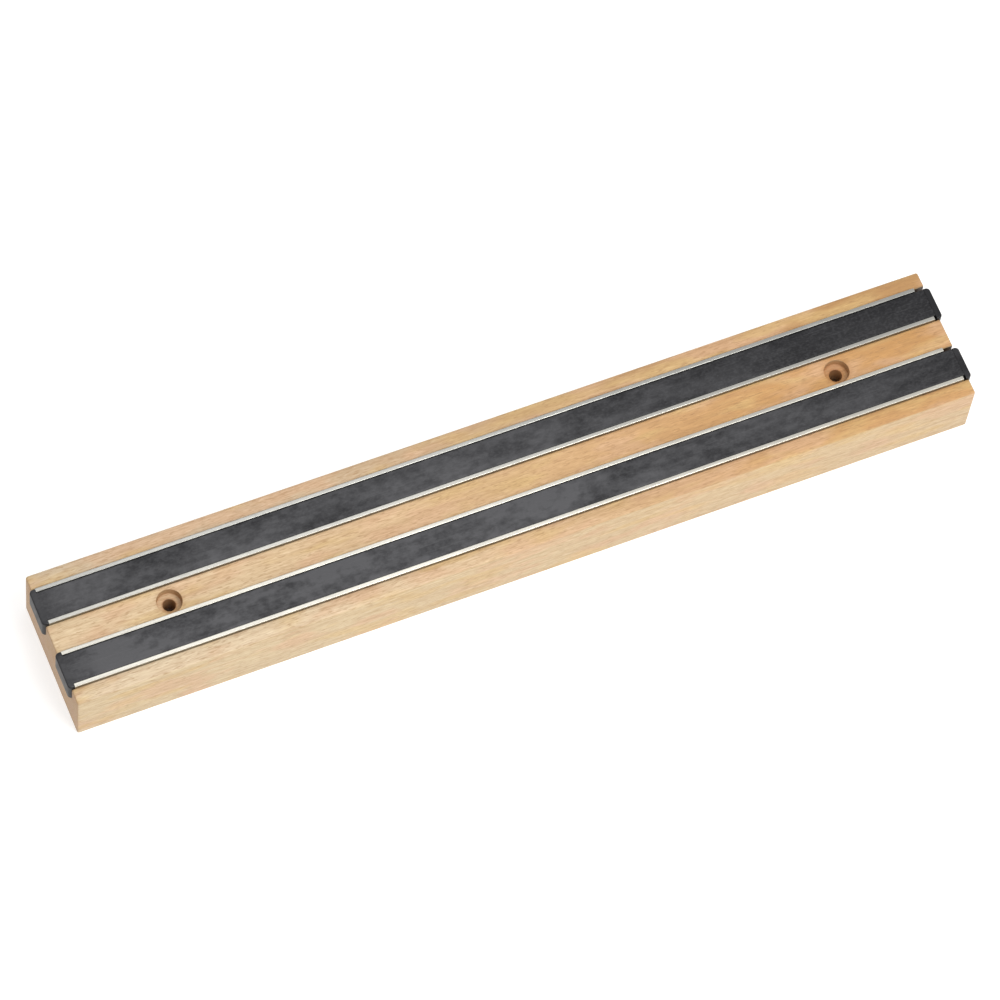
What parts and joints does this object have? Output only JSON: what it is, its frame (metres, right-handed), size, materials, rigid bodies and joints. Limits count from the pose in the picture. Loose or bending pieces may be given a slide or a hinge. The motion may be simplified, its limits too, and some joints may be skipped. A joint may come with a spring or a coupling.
{
  "type": "magnetic knife rack",
  "caption": "Wall-mounted wooden magnetic knife rack: a long bar with black magnet strips between thin steel rails and two counterbored screw holes.",
  "frame": {"origin": "centre of the flat back face, the face that lies against the wall", "axes": "+X along the bar, to the right as a person sees the rack on a wall; +Y up the wall, across the bar; +Z away from the wall, towards the knives"},
  "size_m": [0.332, 0.05, 0.0262],
  "materials": {
    "wood": "pale close-grained hardwood, fine sanded, thin clear satin oil",
    "rail_steel": "bright cold-rolled steel, ground along its length",
    "cover_black": "matte black, faintly mottled",
    "cap_black": "satin black moulded plastic",
    "ferrite": "dark grey sintered ceramic"
  },
  "bodies": {
    "root": {"wood_bar": "wood", "upper_top_rail": "rail_steel", "upper_bottom_rail": "rail_steel", "lower_top_rail": "rail_steel", "lower_bottom_rail": "rail_steel", "upper_cover_strip": "cover_black", "lower_cover_strip": "cover_black", "upper_left_end_cap": "cap_black", "upper_right_end_cap": "cap_black", "lower_left_end_cap": "cap_black", "lower_right_end_cap": "cap_black", "upper_magnet_1": "ferrite", "upper_magnet_2": "ferrite", "upper_magnet_3": "ferrite", "upper_magnet_4": "ferrite", "upper_magnet_5": "ferrite", "upper_magnet_6": "ferrite", "lower_magnet_1": "ferrite", "lower_magnet_2": "ferrite", "lower_magnet_3": "ferrite", "lower_magnet_4": "ferrite", "lower_magnet_5": "ferrite", "lower_magnet_6": "ferrite"}
  },
  "joints": []
}
